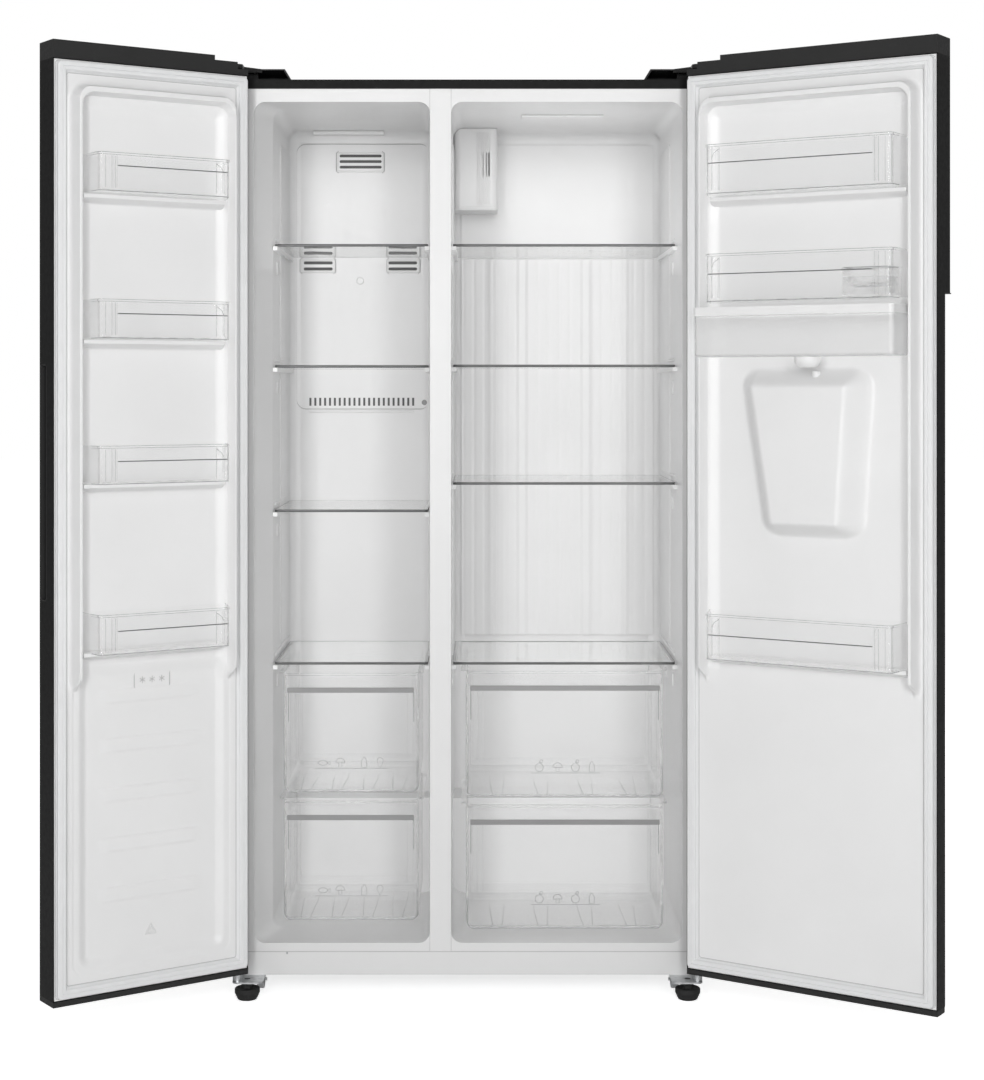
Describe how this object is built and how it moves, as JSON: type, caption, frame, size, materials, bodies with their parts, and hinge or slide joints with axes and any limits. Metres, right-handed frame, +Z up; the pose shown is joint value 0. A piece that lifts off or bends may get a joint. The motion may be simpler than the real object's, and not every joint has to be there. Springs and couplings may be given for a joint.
{
  "type": "side by side refrigerator",
  "caption": "Upright side by side refrigerator with two hinged doors, glass shelves, clear drawers, door bins, water tank and dispenser, ducts and rear cooling unit.",
  "frame": {"origin": "on the floor, under the middle of the box around the appliance with both doors open", "axes": "+Z up, front towards -Y, freezer on the -X side"},
  "size_m": [1.6422, 0.9908, 1.79],
  "materials": {
    "black_steel": "satin black coated steel",
    "white_steel": "gloss white enamel",
    "zinc_steel": "galvanised sheet",
    "white_plastic": "vacuum formed white polystyrene",
    "grey_plastic": "moulded light grey",
    "black_plastic": "fine moulded grain",
    "clear_plastic": "clear moulded polystyrene",
    "tank_plastic": "translucent grey",
    "shelf_glass": "toughened, polished edges",
    "foam": "rigid polyurethane foam",
    "seal": "soft white extrusion",
    "coil": "finned",
    "compressor_paint": "black stove enamel",
    "tyre_grey": "hard nylon"
  },
  "bodies": {
    "cabinet": {"base_pan": "zinc_steel", "cabinet_foam": "foam", "compressor": "compressor_paint", "condenser": "coil", "drawer_cover_glass": "shelf_glass", "evaporator": "coil", "fan_motors": "zinc_steel", "freezer_duct_covers": "white_plastic", "freezer_liner": "white_plastic", "fridge_air_duct": "white_plastic", "fridge_liner": "white_plastic", "front_frame": "white_steel", "hinge_covers": "black_plastic", "lamp_covers": "white_plastic", "levelling_feet": "black_plastic", "lower_hinges": "zinc_steel", "machine_cover": "black_plastic", "outer_shell": "black_steel", "power_inlet": "black_plastic", "rear_panel": "zinc_steel", "rear_roller_brackets": "zinc_steel", "screws": "zinc_steel", "top_hinges": "black_steel"},
    "freezer_door": {"freezer_door_skin": "black_steel", "freezer_door_trim": "black_plastic", "freezer_door_foam": "foam", "freezer_door_liner": "white_plastic", "freezer_door_gasket": "seal"},
    "fridge_door": {"fridge_door_skin": "black_steel", "fridge_door_trim": "black_plastic", "fridge_door_foam": "foam", "fridge_door_liner": "white_plastic", "fridge_door_gasket": "seal", "dispenser_housing": "black_plastic", "dispenser_valve": "white_plastic"},
    "freezer_shelf_1": {"freezer_shelf_1": "shelf_glass"},
    "freezer_shelf_2": {"freezer_shelf_2": "shelf_glass"},
    "freezer_shelf_3": {"freezer_shelf_3": "shelf_glass"},
    "fridge_shelf_1": {"fridge_shelf_1": "shelf_glass"},
    "fridge_shelf_2": {"fridge_shelf_2": "shelf_glass"},
    "fridge_shelf_3": {"fridge_shelf_3": "shelf_glass"},
    "freezer_drawer_upper": {"freezer_drawer_upper": "clear_plastic"},
    "freezer_drawer_lower": {"freezer_drawer_lower": "clear_plastic"},
    "crisper_upper": {"crisper_upper": "clear_plastic"},
    "crisper_lower": {"crisper_lower": "clear_plastic"},
    "freezer_bin_1": {"freezer_bin_1": "clear_plastic"},
    "freezer_bin_2": {"freezer_bin_2": "clear_plastic"},
    "freezer_bin_3": {"freezer_bin_3": "clear_plastic"},
    "freezer_bin_4": {"freezer_bin_4": "clear_plastic"},
    "fridge_bin_1": {"fridge_bin_1": "clear_plastic"},
    "fridge_bin_2": {"fridge_bin_2": "clear_plastic", "filler_cup": "clear_plastic"},
    "fridge_bin_3": {"fridge_bin_3": "clear_plastic"},
    "water_tank": {"water_tank": "tank_plastic"},
    "tank_lid": {"tank_lid": "white_plastic"},
    "dispenser_paddle": {"dispenser_paddle": "grey_plastic"},
    "evaporator_fan": {"evaporator_fan": "grey_plastic"},
    "condenser_fan": {"condenser_fan": "grey_plastic"},
    "front_rollers": {"front_rollers": "tyre_grey"},
    "rear_rollers": {"rear_rollers": "tyre_grey"}
  },
  "joints": [
    {"name": "freezer_door_hinge", "type": "hinge", "parent": "cabinet", "child": "freezer_door", "pos_m": [-0.4836, -0.16304, 0.9], "axis": [0, 0, -1], "range_deg": [-145.5, 0]},
    {"name": "fridge_door_hinge", "type": "hinge", "parent": "cabinet", "child": "fridge_door", "pos_m": [0.3914, -0.16304, 0.9], "axis": [0, 0, 1], "range_deg": [-146.5, 0]},
    {"name": "freezer_shelf_1_slide", "type": "slide", "parent": "cabinet", "child": "freezer_shelf_1", "axis": [0, -1, 0], "range_m": [0, 0.3]},
    {"name": "freezer_shelf_2_slide", "type": "slide", "parent": "cabinet", "child": "freezer_shelf_2", "axis": [0, -1, 0], "range_m": [0, 0.3]},
    {"name": "freezer_shelf_3_slide", "type": "slide", "parent": "cabinet", "child": "freezer_shelf_3", "axis": [0, -1, 0], "range_m": [0, 0.3]},
    {"name": "fridge_shelf_1_slide", "type": "slide", "parent": "cabinet", "child": "fridge_shelf_1", "axis": [0, -1, 0], "range_m": [0, 0.3]},
    {"name": "fridge_shelf_2_slide", "type": "slide", "parent": "cabinet", "child": "fridge_shelf_2", "axis": [0, -1, 0], "range_m": [0, 0.3]},
    {"name": "fridge_shelf_3_slide", "type": "slide", "parent": "cabinet", "child": "fridge_shelf_3", "axis": [0, -1, 0], "range_m": [0, 0.3]},
    {"name": "freezer_drawer_upper_slide", "type": "slide", "parent": "cabinet", "child": "freezer_drawer_upper", "axis": [0, -1, 0], "range_m": [0, 0.3]},
    {"name": "freezer_drawer_lower_slide", "type": "slide", "parent": "cabinet", "child": "freezer_drawer_lower", "axis": [0, -1, 0], "range_m": [0, 0.26]},
    {"name": "crisper_upper_slide", "type": "slide", "parent": "cabinet", "child": "crisper_upper", "axis": [0, -1, 0], "range_m": [0, 0.3]},
    {"name": "crisper_lower_slide", "type": "slide", "parent": "cabinet", "child": "crisper_lower", "axis": [0, -1, 0], "range_m": [0, 0.26]},
    {"name": "freezer_bin_1_lift", "type": "slide", "parent": "freezer_door", "child": "freezer_bin_1", "axis": [0, 0, 1], "range_m": [0, 0.03]},
    {"name": "freezer_bin_2_lift", "type": "slide", "parent": "freezer_door", "child": "freezer_bin_2", "axis": [0, 0, 1], "range_m": [0, 0.03]},
    {"name": "freezer_bin_3_lift", "type": "slide", "parent": "freezer_door", "child": "freezer_bin_3", "axis": [0, 0, 1], "range_m": [0, 0.03]},
    {"name": "freezer_bin_4_lift", "type": "slide", "parent": "freezer_door", "child": "freezer_bin_4", "axis": [0, 0, 1], "range_m": [0, 0.03]},
    {"name": "fridge_bin_1_lift", "type": "slide", "parent": "fridge_door", "child": "fridge_bin_1", "axis": [0, 0, 1], "range_m": [0, 0.03]},
    {"name": "fridge_bin_2_lift", "type": "slide", "parent": "fridge_door", "child": "fridge_bin_2", "axis": [0, 0, 1], "range_m": [0, 0.03]},
    {"name": "fridge_bin_3_lift", "type": "slide", "parent": "fridge_door", "child": "fridge_bin_3", "axis": [0, 0, 1], "range_m": [0, 0.03]},
    {"name": "water_tank_lift", "type": "slide", "parent": "fridge_door", "child": "water_tank", "axis": [0, 0, 1], "range_m": [0, 0.007]},
    {"name": "tank_lid_lift", "type": "slide", "parent": "water_tank", "child": "tank_lid", "axis": [0, 0, 1], "range_m": [0, 0.007]},
    {"name": "dispenser_paddle_hinge", "type": "hinge", "parent": "fridge_door", "child": "dispenser_paddle", "pos_m": [0.60077, -0.3214, 1.126], "axis": [-0.8339, 0.5519, 0], "range_deg": [0, 12], "stiffness_Nm_per_rad": 0.6},
    {"name": "evaporator_fan_spin", "type": "hinge", "parent": "cabinet", "child": "evaporator_fan", "pos_m": [-0.2781, 0.38496, 1.54], "axis": [0, 1, 0], "continuous": true},
    {"name": "condenser_fan_spin", "type": "hinge", "parent": "cabinet", "child": "condenser_fan", "pos_m": [-0.0161, 0.40296, 0.14], "axis": [1, 0, 0], "continuous": true},
    {"name": "front_rollers_roll", "type": "hinge", "parent": "cabinet", "child": "front_rollers", "pos_m": [-0.0461, -0.08104, 0.018], "axis": [1, 0, 0], "continuous": true},
    {"name": "rear_rollers_roll", "type": "hinge", "parent": "cabinet", "child": "rear_rollers", "pos_m": [-0.0461, 0.43296, 0.017], "axis": [1, 0, 0], "continuous": true}
  ]
}
